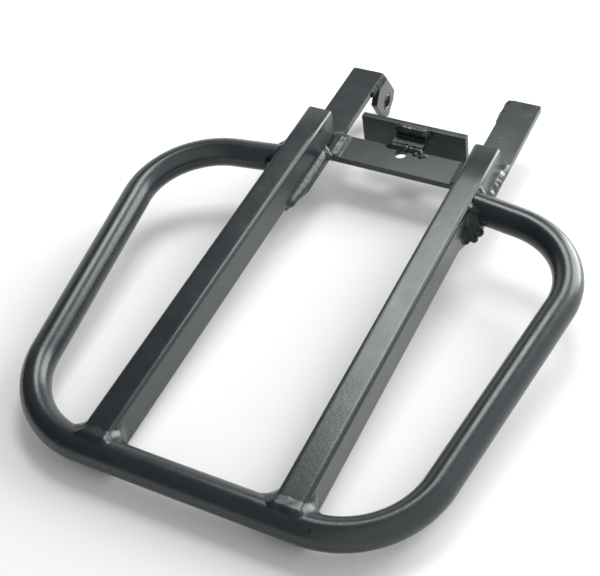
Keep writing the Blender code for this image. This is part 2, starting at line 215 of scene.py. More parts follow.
def make_steel(name):
    """Turned dark steel of the bushes, with fine rings round the bore."""
    g = Graph(name)
    place = g.add("ShaderNodeTexCoord")
    stretch = g.add("ShaderNodeMapping", Scale=(2400.0, 160.0, 160.0))
    g.join(place, "Object", stretch, "Vector")
    rings = g.add("ShaderNodeTexNoise", Scale=1.0, Detail=3.0, Roughness=0.6)
    g.join(stretch, "Vector", rings, "Vector")
    colour = g.ramp(rings, "Fac", ((0.30, (0.10, 0.10, 0.105)), (0.70, (0.22, 0.22, 0.225))))
    g.join(colour, "Color", g.shader, "Base Color")
    rough = g.ramp(rings, "Fac", ((0.30, 0.32), (0.70, 0.48)))
    g.join(rough, "Color", g.shader, "Roughness")
    bump = g.add("ShaderNodeBump", Strength=0.25, Distance=0.0001)
    g.join(rings, "Fac", bump, "Height")
    g.join(bump, "Normal", g.shader, "Normal")
    g.shader.inputs["Metallic"].default_value = 1.0
    return g.material


PAINT = make_paint("charcoal_paint", 0.021, 0.24, 0.05, 0.10)
TUBE_PAINT = make_paint("charcoal_paint_on_tube", 0.024, 0.26, 0.05, 0.08)
# The welds' copy of the paint is a little darker than the rest: painted shade in the joints between parts.
SHADED_WELD_PAINT = make_paint("charcoal_paint_darkened_as_shade_on_weld", 0.018, 0.27, 0.08, 0.08)
# Darker, less shiny copy of the paint for the run under each loop end: painted shade where the tube and arm
# keep the light off.
SHADED_POOL_PAINT = make_paint("charcoal_paint_darkened_as_shade_under_tube", 0.010, 0.20, 0.06, 0.05, shine=0.30)
# Darker, duller copy of the paint for the ear welds: painted shade in the groove between arm and ear.
GROOVE_SHADE_PAINT = make_paint("charcoal_paint_darkened_as_groove_shade", 0.010, 0.42, 0.08, 0.08, shine=0.12)
STEEL = make_steel("turned_steel")


# ---------------------------------------------------------------- mesh helpers

def add_piece(name, bm, nodes, body, material, smooth_angle=32):
    """Make an object from a bmesh in rack coordinates, in place of its CAD nodes."""
    bmesh.ops.recalc_face_normals(bm, faces=bm.faces)
    mesh = bpy.data.meshes.new(name)
    bm.to_mesh(mesh)
    bm.free()
    mesh.transform(PLACE)
    mesh.shade_smooth()
    mesh.set_sharp_from_angle(angle=math.radians(smooth_angle))
    mesh.materials.append(material)
    piece = bpy.data.objects.new(name, mesh)
    bpy.context.scene.collection.objects.link(piece)
    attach(piece, body)
    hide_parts(*nodes)
    return piece


def add_flat(name, bm, node):
    """Piece cut from flat stock: its broad faces keep their own direction up to the eased edges."""
    piece = add_piece(name, bm, [node], "flap", PAINT)
    modifier = piece.modifiers.new("broad_faces", "WEIGHTED_NORMAL")
    modifier.keep_sharp = True


def arc(centre, radius, start_deg, end_deg, steps):
    """Points of an arc in a plane."""
    angles = [math.radians(start_deg + (end_deg - start_deg) * i / steps) for i in range(steps + 1)]
    return [(centre[0] + radius * math.cos(a), centre[1] + radius * math.sin(a)) for a in angles]


def circle(centre, radius, steps):
    """Points of a full circle, each once."""
    return arc(centre, radius, 0, 360, steps)[:-1]


def rounded_box(width, height, radius, steps, spacing):
    """Outline of a box section about its middle, with points along its straight stretches."""
    corners = []
    for side_x, side_y, start in ((1, 1, 0), (-1, 1, 90), (-1, -1, 180), (1, -1, 270)):
        centre = (side_x * (width / 2 - radius), side_y * (height / 2 - radius))
        corners.append(arc(centre, radius, start, start + 90, steps))
    points = []
    for index, corner in enumerate(corners):
        points += corner
        first = Vector(corner[-1])
        last = Vector(corners[(index + 1) % 4][0])
        count = max(int((last - first).length / spacing), 1)
        points += [tuple(first.lerp(last, i / count)) for i in range(1, count)]
    return points


def skin(rings, closed_path=False):
    """Join rings of equal length into one body, with flat ends unless the path is closed."""
    bm = bmesh.new()
    rows = [[bm.verts.new(point) for point in ring] for ring in rings]
    count = len(rows[0])
    spans = len(rows) if closed_path else len(rows) - 1
    for row in range(spans):
        here, there = rows[row], rows[(row + 1) % len(rows)]
        for index in range(count):
            after = (index + 1) % count
            bm.faces.new((here[index], here[after], there[after], there[index]))
    if not closed_path:
        bm.faces.new(rows[0])
        bm.faces.new(rows[-1])
    return bm


def plate(loops, thickness, edge_radius):
    """Flat plate with eased edges. Its outline is in X and Y."""
    bm = bmesh.new()
    edges = []
    for loop in loops:
        verts = [bm.verts.new((x, y, 0.0)) for x, y in loop]
        for index, vert in enumerate(verts):
            edges.append(bm.edges.new((vert, verts[(index + 1) % len(verts)])))
    filled = bmesh.ops.triangle_fill(bm, use_beauty=True, edges=edges)
    faces = [item for item in filled["geom"] if isinstance(item, bmesh.types.BMFace)]
    grown = bmesh.ops.extrude_face_region(bm, geom=faces)
    moved = [item for item in grown["geom"] if isinstance(item, bmesh.types.BMVert)]
    bmesh.ops.translate(bm, vec=(0.0, 0.0, thickness), verts=moved)
    bmesh.ops.recalc_face_normals(bm, faces=bm.faces)
    bmesh.ops.dissolve_limit(bm, angle_limit=0.001, verts=bm.verts, edges=bm.edges)
    sharp = [e for e in bm.edges if e.calc_face_angle(0.0) > math.radians(40)]
    bmesh.ops.bevel(bm, geom=sharp, offset=edge_radius, segments=3, profile=0.5,
                    affect="EDGES", clamp_overlap=True)
    return bm


def slice_across(bm, first, last, steps):
    """Add edge lines across X at even steps, so that a flat can follow a bend."""
    for x in np.linspace(first, last, steps + 1):
        geometry = bm.verts[:] + bm.edges[:] + bm.faces[:]
        bmesh.ops.bisect_plane(bm, geom=geometry, dist=1e-7, plane_co=(x, 0, 0), plane_no=(1, 0, 0))


# ---------------------------------------------------------------- tube, rails, flats

def loop_route(steps):
    """Middle line of the loop, from the left rail round the front to the right rail."""
    corners = [
        Vector((-RAIL_OUTER_X, LOOP_END_Y)), Vector((-LOOP_REAR_HALF, LOOP_REAR_Y)),
        Vector((-LOOP_FRONT_HALF, 0.0)), Vector((LOOP_FRONT_HALF, 0.0)),
        Vector((LOOP_REAR_HALF, LOOP_REAR_Y)), Vector((RAIL_OUTER_X, LOOP_END_Y)),
    ]
    radii = (REAR_BEND_RADIUS, FRONT_BEND_RADIUS, FRONT_BEND_RADIUS, REAR_BEND_RADIUS)
    route = [corners[0]]
    for index, radius in enumerate(radii, start=1):
        to_last = (corners[index - 1] - corners[index]).normalized()
        to_next = (corners[index + 1] - corners[index]).normalized()
        half_angle = to_last.angle(to_next) / 2
        middle = corners[index] + (to_last + to_next).normalized() * radius / math.sin(half_angle)
        first = corners[index] + to_last * radius / math.tan(half_angle) - middle
        turn = math.pi - 2 * half_angle
        for step in range(steps + 1):
            route.append(middle + first @ Matrix.Rotation(-turn * step / steps, 2))
    route.append(corners[-1])
    return route


def build_loop_tube():
    """Bent tube, hollow, its ends cut flat against the rails. The bends are a little oval."""
    steps, around = 40, 72
    narrower, taller = 0.022, 0.008
    route = loop_route(steps)
    last = len(route) - 1
    walls = []
    for radius in (TUBE_RADIUS, TUBE_RADIUS - TUBE_WALL):
        rings = []
        for index, point in enumerate(route):
            along = (route[min(index + 1, last)] - route[max(index - 1, 0)]).normalized()
            across = Vector((-along.y, along.x))
            in_bend = 0.0
            if 0 < index < last:
                in_bend = math.sin(math.pi * ((index - 1) % (steps + 1)) / steps)
            ring = []
            for x, z in circle((0.0, 0.0), radius, around):
                place = point + across * x * (1 - narrower * in_bend)
                if index in (0, last):
                    goal = math.copysign(RAIL_OUTER_X + BUTT_GAP, point.x)
                    place = place + along * (goal - place.x) / along.x
                ring.append(Vector((place.x, place.y, z * (1 + taller * in_bend))))
            rings.append(ring)
        walls.append(rings)
    bm = skin(walls[0] + walls[1][::-1], closed_path=True)
    add_piece("loop_tube_smooth", bm, ["loop_tube"], "flap", TUBE_PAINT)


def build_rail(label, side):
    """Box rail: coped over the front bar, with an open, lightly deburred rear end."""
    steps, spacing, ease = 6, 0.0012, 0.00035
    cope = TUBE_RADIUS + BUTT_GAP
    straight_front, bore_rear = 0.012, RAIL_REAR_Y - 0.004
    bore_width = RAIL_WIDTH - 2 * RAIL_WALL
    bore_height = RAIL_HEIGHT - 2 * RAIL_WALL
    outer = rounded_box(RAIL_WIDTH, RAIL_HEIGHT, RAIL_CORNER, steps, spacing)
    bore = rounded_box(bore_width, bore_height, RAIL_CORNER * 0.4, steps, spacing)
    while len(bore) < len(outer):
        bore.append(bore[-1])

    def ring(outline, y):
        return [(side * RAIL_X + x, y, RAIL_MIDDLE_Z + z) for x, z in outline]

    def coped(outline):
        points = []
        for x, z in outline:
            height = RAIL_MIDDLE_Z + z
            y = max(RAIL_FRONT_Y, math.sqrt(max(cope ** 2 - height ** 2, 0.0)))
            points.append((side * RAIL_X + x, y, height))
        return points

    def shrunk(outline, by):
        return [(x * (1 - by / (RAIL_WIDTH / 2)), z * (1 - by / (RAIL_HEIGHT / 2))) for x, z in outline]

    rings = [coped(outer)]
    rings += [ring(outer, y) for y in np.linspace(straight_front, RAIL_REAR_Y - ease, 9)]
    rings.append(ring(shrunk(outer, ease * 0.3), RAIL_REAR_Y - ease * 0.3))
    rings.append(ring(shrunk(outer, ease), RAIL_REAR_Y))
    rings.append(ring(shrunk(bore, -ease * 0.5), RAIL_REAR_Y))
    rings.append(ring(bore, RAIL_REAR_Y - ease * 0.5))
    rings += [ring(bore, y) for y in np.linspace(bore_rear, straight_front, 6)]
    rings.append(coped(bore))
    bm = skin(rings, closed_path=True)
    bmesh.ops.remove_doubles(bm, verts=bm.verts, dist=1e-7)
    add_piece(label + "_rail_smooth", bm, [label + "_rail"], "flap", PAINT)


def build_arm(label, side, corner_cut):
    """Flat arm under the rail, with a tapered front tip."""
    across, along = corner_cut
    outline = [
        (ARM_OUTER_X, ARM_TAPER_Y), (ARM_X + ARM_TIP_HALF, ARM_TIP_Y), (ARM_X - ARM_TIP_HALF, ARM_TIP_Y),
        (ARM_INNER_X, ARM_TAPER_Y), (ARM_INNER_X, ARM_REAR_Y - along), (ARM_INNER_X + across, ARM_REAR_Y),
        (ARM_OUTER_X - ARM_TRIM, ARM_REAR_Y), (ARM_OUTER_X, ARM_REAR_Y - ARM_TRIM),
    ]
    bm = plate((outline,), FLAT_THICKNESS, ARM_EASE)
    for vert in bm.verts:
        x, y, z = vert.co
        vert.co = (side * x, y, FLAT_BOTTOM_Z + z)
    add_flat(label + "_arm_eased", bm, label + "_arm")


def build_ear(label, side):
    """Upright plate under an arm's inner edge, with the hinge hole."""
    top = FLAT_BOTTOM_Z - BUTT_GAP
    outline = [*EAR_CORNERS, (EAR_TOP_REAR_Y, top), (EAR_TOP_FRONT_Y, top)]
    hole = circle((HINGE_Y, HINGE_Z), HINGE_HOLE_RADIUS, 64)
    bm = plate((outline, hole), FLAT_THICKNESS, EAR_EASE)
    for vert in bm.verts:
        y, z, x = vert.co
        vert.co = (side * (EAR_FACE_X + x), y, z)
    add_flat(label + "_ear_eased", bm, label + "_ear")


def build_crossbar():
    """Flat bar between the arms, with the hole for a buffer."""
    end = ARM_INNER_X - BUTT_GAP
    front, rear = CROSSBAR_FRONT_Y, CROSSBAR_REAR_Y
    outline = [(-end, front), (end, front), (end, rear), (-end, rear)]
    hole = circle((CROSSBAR_HOLE_X, CROSSBAR_HOLE_Y), CROSSBAR_HOLE_RADIUS, 56)
    bm = plate((outline, hole), FLAT_THICKNESS, FLAT_EASE)
    bmesh.ops.translate(bm, vec=(0.0, 0.0, FLAT_BOTTOM_Z), verts=bm.verts)
    add_flat("crossbar_eased", bm, "crossbar")


def build_stop_plate():
    """Upright flat behind the crossbar."""
    half = STOP_PLATE_LENGTH / 2
    bottom = STOP_PLATE_TOP_Z - FLAT_WIDTH
    outline = [(-half, bottom), (half, bottom), (half, STOP_PLATE_TOP_Z), (-half, STOP_PLATE_TOP_Z)]
    bm = plate((outline,), FLAT_THICKNESS, FLAT_EASE)
    for vert in bm.verts:
        x, z, y = vert.co
        vert.co = (STOP_X + x, STOP_PLATE_FRONT_Y + y, z)
    add_flat("stop_plate_eased", bm, "stop_plate")


def build_stop_angle():
    """Bent bracket: its foot meets the crossbar and its upright backs on the stop plate."""
    upright_length, bend_steps = 0.0023, 12
    foot_front = CROSSBAR_REAR_Y + BRACKET_GAP
    bend_start = STOP_PLATE_FRONT_Y - BRACKET_GAP - STOP_ANGLE_RADIUS - foot_front
    middle_radius = STOP_ANGLE_RADIUS - STOP_ANGLE_THICKNESS / 2
    bend_length = math.pi / 2 * middle_radius
    total = bend_start + bend_length + upright_length
    half = STOP_ANGLE_WIDTH / 2
    outline = [(0.0, -half), (total, -half), (total, half), (0.0, half)]
    bm = plate((outline,), STOP_ANGLE_THICKNESS, FLAT_EASE)
    slice_across(bm, bend_start, bend_start + bend_length, bend_steps)
    base = FLAT_TOP_Z - STOP_ANGLE_THICKNESS
    for vert in bm.verts:
        run, x, height = vert.co
        past = run - bend_start
        y, z = foot_front + run, base + height
        if past > 0:
            angle = min(past, bend_length) / middle_radius
            radius = STOP_ANGLE_RADIUS - height
            y = foot_front + bend_start + radius * math.sin(angle)
            z = base + STOP_ANGLE_RADIUS - radius * math.cos(angle) + max(past - bend_length, 0.0)
        vert.co = (STOP_X + x, y, z)
    add_flat("stop_angle_eased", bm, "stop_angle")


def build_bush(label, side):
    """Turned sleeve with chamfered ends."""
    middle = side * (EAR_FACE_X + FLAT_THICKNESS / 2)
    half, ease, around = BUSH_LENGTH / 2, 0.0002, 64
    profile = [
        (-half, BUSH_RADIUS - ease), (-half + ease, BUSH_RADIUS), (half - ease, BUSH_RADIUS),
        (half, BUSH_RADIUS - ease), (half, BUSH_BORE_RADIUS + ease),
        (half - ease, BUSH_BORE_RADIUS), (-half + ease, BUSH_BORE_RADIUS), (-half, BUSH_BORE_RADIUS + ease),
    ]
    rings = []
    for index in range(around):
        a = 2 * math.pi * index / around
        y, z = math.cos(a), math.sin(a)
        rings.append([(middle + x, HINGE_Y + r * y, HINGE_Z + r * z) for x, r in profile])
    bm = skin(rings, closed_path=True)
    add_piece(label + "_pivot_bush_turned", bm, [label + "_pivot_bush"], "pivot", STEEL)


# ---------------------------------------------------------------- welds as distance fields

SINK = 0.00015          # how deep a weld starts under the skin of the pieces that it joins
SHELL = 0.0009          # how far its hidden side reaches further down
DROP_REACH = 0.0012     # how softly the drops of a bead flow together
WELD_LIMIT = 0.0040     # how far from its drops the metal may spread
LONG_WAVE, SHORT_WAVE = 0.0042, 0.0017
WELD_CELL, FINE_CELL, COLLAR_CELL = 0.0004, 0.00035, 0.0005
WELD_SMOOTH_ANGLE = 80

# Drops of the heavy run under a loop end: out from the rail, Y from the end, Z, radius
LOOP_END_RUN = (
    (0.0014, -0.0080, -0.0052, 0.0028), (0.0030, -0.0088, -0.0080, 0.0030),
    (0.0052, -0.0080, -0.0100, 0.0026), (0.0016, -0.0120, -0.0098, 0.0028),
    (0.0040, -0.0125, -0.0112, 0.0022), (0.0008, -0.0155, -0.0112, 0.0018),
    (0.0012, -0.0040, -0.0098, 0.0026), (0.0040, -0.0035, -0.0108, 0.0022),
    (0.0010, 0.0020, -0.0104, 0.0020),
)
# Drops where an arm's inner bead meets the crossbar: X, Y, height over the flats, radius
INNER_WELD_END = ((0.0412, 0.2330, 0.0006, 0.0019), (0.0398, 0.2322, -0.0002, 0.0017),
                  (0.0426, 0.2352, 0.0008, 0.0018))
# Rows of the seam between crossbar and arm: X from the seam, depth under the flats, radius
CROSSBAR_SEAM_ROWS = ((-0.0030, 0.0012, 0.0016), (-0.0006, 0.0011, 0.0018), (0.0020, 0.0012, 0.0017))
# Rows of an ear's bead: first Y, last Y, Z
EAR_WELD_ROWS = ((0.2935, 0.3108, -0.0150), (0.3030, 0.3118, -0.0166))
# Tacks of the stop bracket: label, first X, last X, radius
STOP_TACKS = (("left", -0.0088, 0.0006, 0.0019), ("right", 0.0034, 0.0094, 0.0020))


def to_box(p, centre, half, corner=FLAT_CORNER):
    """Distance to a box with rounded corners."""
    q = np.abs(p - np.array(centre)) - (np.array(half) - corner)
    return np.linalg.norm(np.maximum(q, 0), axis=-1) + np.minimum(q.max(-1), 0) - corner


def to_bar(p, point, direction, radius):
    """Distance to an endless round bar."""
    direction = np.array(direction) / np.linalg.norm(direction)
    q = p - np.array(point)
    return np.linalg.norm(q - (q @ direction)[..., None] * direction, axis=-1) - radius


def to_rail(p, side):
    length = RAIL_REAR_Y - RAIL_FRONT_Y
    centre = (side * RAIL_X, RAIL_FRONT_Y + length / 2, RAIL_MIDDLE_Z)
    return to_box(p, centre, (RAIL_WIDTH / 2, length / 2, RAIL_HEIGHT / 2), RAIL_CORNER)


def to_arm(p, side):
    """Distance to an arm: a plain flat, narrower towards its front tip."""
    middle = (side * ARM_X, (ARM_TIP_Y + ARM_REAR_Y) / 2, FLAT_MIDDLE_Z)
    flat = to_box(p, middle, (FLAT_WIDTH / 2, (ARM_REAR_Y - ARM_TIP_Y) / 2, FLAT_THICKNESS / 2))
    slope = (FLAT_WIDTH / 2 - ARM_TIP_HALF) / (ARM_TAPER_Y - ARM_TIP_Y)
    reach = ARM_TIP_HALF + (p[..., 1] - ARM_TIP_Y) * slope
    taper = (np.abs(p[..., 0] - side * ARM_X) - reach) / math.hypot(1.0, slope)
    return np.maximum(flat, taper)


def to_ear(p, side):
    """Distance to the upper part of an ear plate, where its weld lies."""
    low, wider = -0.0300, 0.0006
    middle_y = (EAR_TOP_FRONT_Y + EAR_TOP_REAR_Y) / 2
    middle = (side * (EAR_FACE_X + FLAT_THICKNESS / 2), middle_y, (FLAT_BOTTOM_Z + low) / 2)
    half_y = (EAR_TOP_REAR_Y - EAR_TOP_FRONT_Y) / 2 + wider
    return to_box(p, middle, (FLAT_THICKNESS / 2, half_y, (FLAT_BOTTOM_Z - low) / 2))


def to_crossbar(p):
    middle = (0.0, (CROSSBAR_FRONT_Y + CROSSBAR_REAR_Y) / 2, FLAT_MIDDLE_Z)
    half = (ARM_INNER_X, (CROSSBAR_REAR_Y - CROSSBAR_FRONT_Y) / 2, FLAT_THICKNESS / 2)
    hole = to_bar(p, (CROSSBAR_HOLE_X, CROSSBAR_HOLE_Y, 0.0), (0, 0, 1), CROSSBAR_HOLE_RADIUS)
    return np.maximum(to_box(p, middle, half), -hole)


def to_stop_plate(p):
    middle = (STOP_X, STOP_PLATE_FRONT_Y + FLAT_THICKNESS / 2, STOP_PLATE_TOP_Z - FLAT_WIDTH / 2)
    return to_box(p, middle, (STOP_PLATE_LENGTH / 2, FLAT_THICKNESS / 2, FLAT_WIDTH / 2))


def to_stop_angle(p):
    """Distance to the bent bracket, taken as a foot and an upright."""
    foot_middle = (CROSSBAR_REAR_Y + STOP_PLATE_FRONT_Y) / 2
    foot_half = (STOP_PLATE_FRONT_Y - CROSSBAR_REAR_Y) / 2
    half_x, half_thickness = STOP_ANGLE_WIDTH / 2, STOP_ANGLE_THICKNESS / 2
    rise = 0.0016
    foot = to_box(p, (STOP_X, foot_middle, FLAT_TOP_Z - half_thickness), (half_x, foot_half, half_thickness))
    upright = to_box(p, (STOP_X, STOP_PLATE_FRONT_Y - half_thickness, FLAT_TOP_Z),
                     (half_x, half_thickness, half_thickness + rise))
    return np.minimum(foot, upright)


def melt(a, b, reach):
    """Smooth union of two distance fields, blended where they are within reach of each other."""
    share = np.maximum(reach - np.abs(a - b), 0) / reach
    return np.minimum(a, b) - share * share * reach / 4


def surface_net(field, low, high, cell):
    """Closed mesh of the zero level of a distance field inside a box: (points, quads)."""
    axes = [np.arange(l, h + cell, cell) for l, h in zip(low, high)]
    grid = np.stack(np.meshgrid(*axes, indexing="ij"), axis=-1)
    values = field(grid)
    for axis in range(3):
        edge = [slice(None)] * 3
        for end in (0, -1):
            edge[axis] = end
            values[tuple(edge)] = np.maximum(values[tuple(edge)], cell * 0.2)
    cells = tuple(n - 1 for n in values.shape)
    sums, hits = np.zeros(cells + (3,)), np.zeros(cells)
    crossings = []
    for axis in range(3):
        first, second = [slice(None)] * 3, [slice(None)] * 3
        first[axis], second[axis] = slice(0, -1), slice(1, None)
        a, b = values[tuple(first)], values[tuple(second)]
        crossed = (a < 0) != (b < 0)
        crossings.append((crossed, a < 0))
        share = np.where(crossed, a / np.where(a == b, 1.0, a - b), 0.0)
        point = grid[tuple(first)].copy()
        point[..., axis] += share * cell
        u, v = (axis + 1) % 3, (axis + 2) % 3
        for du, dv in itertools.product((0, 1), repeat=2):
            pick = [slice(None)] * 3
            pick[u], pick[v] = slice(du, du + cells[u]), slice(dv, dv + cells[v])
            sums += point[tuple(pick)] * crossed[tuple(pick)][..., None]
            hits += crossed[tuple(pick)]
    used = hits > 0
    number = np.full(cells, -1)
    number[used] = np.arange(used.sum())
    points = sums[used] / hits[used][:, None]
    quads = []
    for axis, (crossed, low_inside) in enumerate(crossings):
        u, v = (axis + 1) % 3, (axis + 2) % 3
        inner = [slice(None)] * 3
        inner[u], inner[v] = slice(1, -1), slice(1, -1)
        where = np.argwhere(crossed[tuple(inner)])
        if not len(where):
            continue
        outward = low_inside[tuple(inner)][tuple(where.T)]
        corners = []
        for du, dv in ((0, 0), (1, 0), (1, 1), (0, 1)):
            at = where.copy()
            at[:, u] += du
            at[:, v] += dv
            corners.append(number[tuple(at.T)])
        quad = np.stack(corners, axis=1)
        quads.append(np.where(outward[:, None], quad, quad[:, ::-1]))
    return points, np.concatenate(quads)


def wobble(p, size, seed):
    """Smooth repeatable waviness between about -1 and 1."""
    waves, evening = 7, 3.2
    q = p / size
    total = np.zeros(p.shape[:-1])
    random = np.random.default_rng(seed)
    for _ in range(waves):
        direction = random.normal(size=3)
        direction *= random.uniform(0.6, 1.5) / np.linalg.norm(direction)
        total += np.sin(q @ direction * 2 * math.pi + random.uniform(0, 2 * math.pi))
    return total / evening


def drops(p, places):
    """Distance to a melted row of weld drops. Each place is (x, y, z, radius)."""
    field = None
    for x, y, z, radius in places:
        one = np.linalg.norm(p - np.array((x, y, z)), axis=-1) - radius
        field = one if field is None else melt(field, one, DROP_REACH)
    return field


def bead_row(start, end, radius, pitch, seed, jitter):
    """Places of the drops of a straight bead: evenly pitched, a little uneven in size and line."""
    random = np.random.default_rng(seed)
    start, end = np.array(start), np.array(end)
    count = max(int(np.linalg.norm(end - start) / pitch), 2)
    places = []
    for index in range(count + 1):
        place = start + (end - start) * index / count + random.normal(size=3) * radius * jitter
        places.append((*place, radius * (1 + random.normal() * jitter)))
    return places


def spatter(centre, spread, count, seed):
    """Places of small stray drops round a weld."""
    smallest, largest = 0.00035, 0.0008
    random = np.random.default_rng(seed)
    places = []
    for _ in range(count):
        place = np.array(centre) + random.normal(size=3) * np.array(spread)
        places.append((*place, random.uniform(smallest, largest)))
    return places


def sided_box(side, x_span, y_span, z_span):
    """Two corners of a box given for the right side, mirrored for the left."""
    left, right = sorted(side * x for x in x_span)
    return (left, y_span[0], z_span[0]), (right, y_span[1], z_span[1])


def add_weld(name, nodes, field, box, cell, material):
    """Mesh a distance field inside a box and ease it, so that its paint looks flowed."""
    points, quads = surface_net(field, *box, cell)
    bm = bmesh.new()
    verts = [bm.verts.new(point) for point in points]
    for quad in quads:
        bm.faces.new([verts[i] for i in quad])
    bmesh.ops.delete(bm, geom=[v for v in bm.verts if not v.link_faces], context="VERTS")
    for _ in range(3):
        bmesh.ops.smooth_vert(bm, verts=bm.verts, factor=0.5,
                              use_axis_x=True, use_axis_y=True, use_axis_z=True)
    add_piece(name, bm, nodes, "flap", material, smooth_angle=WELD_SMOOTH_ANGLE)


def host_distance(p, hosts):
    """Distance to the nearest of the surfaces that a weld joins."""
    base = hosts[0](p)
    for host in hosts[1:]:
        base = np.minimum(base, host(p))
    return base


def build_weld(node, places, hosts, box, blend, rough, seed, cell=WELD_CELL, material=SHADED_WELD_PAINT):
    """Weld metal: drops melted into each other and into the surfaces that they join."""
    def field(p):
        base = host_distance(p, hosts)
        metal = drops(p, places)
        joined = melt(metal, base + SINK, blend)
        joined = joined + wobble(p, LONG_WAVE, seed) * rough
        joined = joined + wobble(p, SHORT_WAVE, seed + 50) * rough * 0.5
        shell = np.maximum(joined, -(base + SINK + SHELL))
        return np.maximum(shell, metal - WELD_LIMIT)

    add_weld(node + "_run", [node], field, box, cell, material)


def build_front_collar(label, side):
    """Weld all round the joint of a rail and the front bar, broad on its flanks, low on top."""
    centre_x = side * RAIL_X
    middle, half = (centre_x, 0.0075, 0.0005), (0.0165, 0.0125, 0.0105)
    top_start, top_rise = 0.0035, 0.004
    flank_reach, less_on_top = 0.0125, 0.0078

    def field(p):
        bar = to_bar(p, (0, 0, 0), (1, 0, 0), TUBE_RADIUS) + SINK
        rail = to_rail(p, side) + SINK
        on_top = np.clip((p[..., 2] - top_start) / top_rise, 0, 1)
        lumps = wobble(p, 0.0070, 11 + side) * 0.00006 + wobble(p, 0.0030, 21 + side) * 0.00002
        joined = melt(bar, rail, flank_reach - on_top * less_on_top) + lumps * (0.5 + 0.5 * on_top)
        shell = np.maximum(joined, -(np.minimum(bar, rail) + SHELL))
        outside = (np.abs(p - np.array(middle)) - np.array(half)).max(-1)
        return np.maximum(shell, outside)

    box = (centre_x - 0.018, -0.0085, -0.0140), (centre_x + 0.018, 0.0210, 0.0115)
    nodes = [label + "_rail_outer_front_weld", label + "_rail_inner_front_weld"]
    add_weld(label + "_rail_front_collar", nodes, field, box, COLLAR_CELL, SHADED_WELD_PAINT)


def build_loop_end_weld(label, side):
    """Fillet round a loop end on its rail, with a heavy run under it down to the arm."""
    direction = (side * (LOOP_REAR_HALF - RAIL_OUTER_X), LOOP_REAR_Y - LOOP_END_Y, 0.0)
    end = (side * RAIL_OUTER_X, LOOP_END_Y, 0.0)
    hosts = [
        lambda p: to_rail(p, side),
        lambda p: np.maximum(to_bar(p, end, direction, TUBE_RADIUS), RAIL_OUTER_X - side * p[..., 0]),
        lambda p: to_arm(p, side),
    ]
    ring_drops, open_above = 26, 0.60
    ring_x, ring_radius = RAIL_OUTER_X + 0.0008, TUBE_RADIUS + 0.0003
    random = np.random.default_rng(31 + side)
    places = []
    for index in range(ring_drops):
        a = 2 * math.pi * index / ring_drops
        if math.sin(a) > open_above:
            continue
        size = 0.0018 + random.normal() * 0.00010
        y, z = LOOP_END_Y + ring_radius * math.cos(a), ring_radius * math.sin(a)
        places.append((side * ring_x, y, z, size))
    for x, y, z, radius in LOOP_END_RUN:
        places.append((side * (RAIL_OUTER_X + x), LOOP_END_Y + y, z, radius))
    box = sided_box(side, (RAIL_OUTER_X - 0.004, RAIL_OUTER_X + 0.012),
                    (LOOP_END_Y - 0.024, LOOP_END_Y + 0.018), (-0.0180, 0.0110))
    # The run gets the darkened copy of the paint: painted shade under the tube.
    build_weld(label + "_loop_end_weld", places, hosts, box, blend=0.0036, rough=0.00006,
               seed=41 + side, material=SHADED_POOL_PAINT)


def build_arm_welds(label, side):
    """Beads along both sides of a rail on its arm, and the seam between arm and crossbar."""
    hosts = [lambda p: to_rail(p, side), lambda p: to_arm(p, side), to_crossbar]
    ledge = side * (RAIL_INNER_X - 0.0004)
    start, end = (ledge, 0.1890, FLAT_TOP_Z + 0.0003), (ledge, 0.2310, FLAT_TOP_Z + 0.0005)
    places = bead_row(start, end, radius=0.0017, pitch=0.0006, seed=61 + side, jitter=0.01)
    places += [(side * x, y, FLAT_TOP_Z + height, radius) for x, y, height, radius in INNER_WELD_END]
    box = sided_box(side, (0.0365, 0.0465), (0.1850, 0.2400), (-0.0175, -0.0060))
    build_weld(label + "_arm_inner_weld", places, hosts, box,
               blend=0.0028, rough=0.000015, seed=71 + side)

    ledge = side * (RAIL_OUTER_X + 0.0005)
    start, end = (ledge, 0.2270, FLAT_TOP_Z + 0.0012), (ledge, 0.2550, FLAT_TOP_Z + 0.0009)
    places = bead_row(start, end, radius=0.0018, pitch=0.0010, seed=81 + side, jitter=0.05)
    box = sided_box(side, (0.0545, 0.0650), (0.2200, 0.2620), (-0.0175, -0.0020))
    build_weld(label + "_arm_outer_weld", places, hosts[:2], box,
               blend=0.0040, rough=0.00008, seed=95 + side)

    places = []
    for inward, sink, radius in CROSSBAR_SEAM_ROWS:
        x, level = side * (ARM_INNER_X + inward), FLAT_TOP_Z - sink
        places += bead_row((x, 0.2345, level), (x, 0.2508, level), radius, 0.0008, 101 + side, jitter=0.02)
    box = sided_box(side, (0.0325, 0.0480), (0.2290, 0.2570), (-0.0185, -0.0060))
    build_weld(label + "_crossbar_weld", places, hosts[1:], box,
               blend=0.0030, rough=0.00002, seed=111 + side)


def build_ear_weld(label, side):
    """Bead along the arm's inner edge that holds the ear plate."""
    hosts = [lambda p: to_arm(p, side), lambda p: to_ear(p, side)]
    edge = side * (ARM_INNER_X + 0.0001)
    places = []
    for seed, (first, last, z) in zip((171, 181), EAR_WELD_ROWS):
        places += bead_row((edge, first, z), (edge, last, z), 0.0014, 0.0008, seed + side, jitter=0.04)
    box = sided_box(side, (0.0362, 0.0470), (0.2880, 0.3160), (-0.0215, -0.0105))
    # The ear bead gets the darkened copy of the paint: painted shade in the groove under the arm's edge.
    build_weld(label + "_ear_weld", places, hosts, box, blend=0.0014, rough=0.00008, seed=191 + side,
               cell=FINE_CELL, material=GROOVE_SHADE_PAINT)


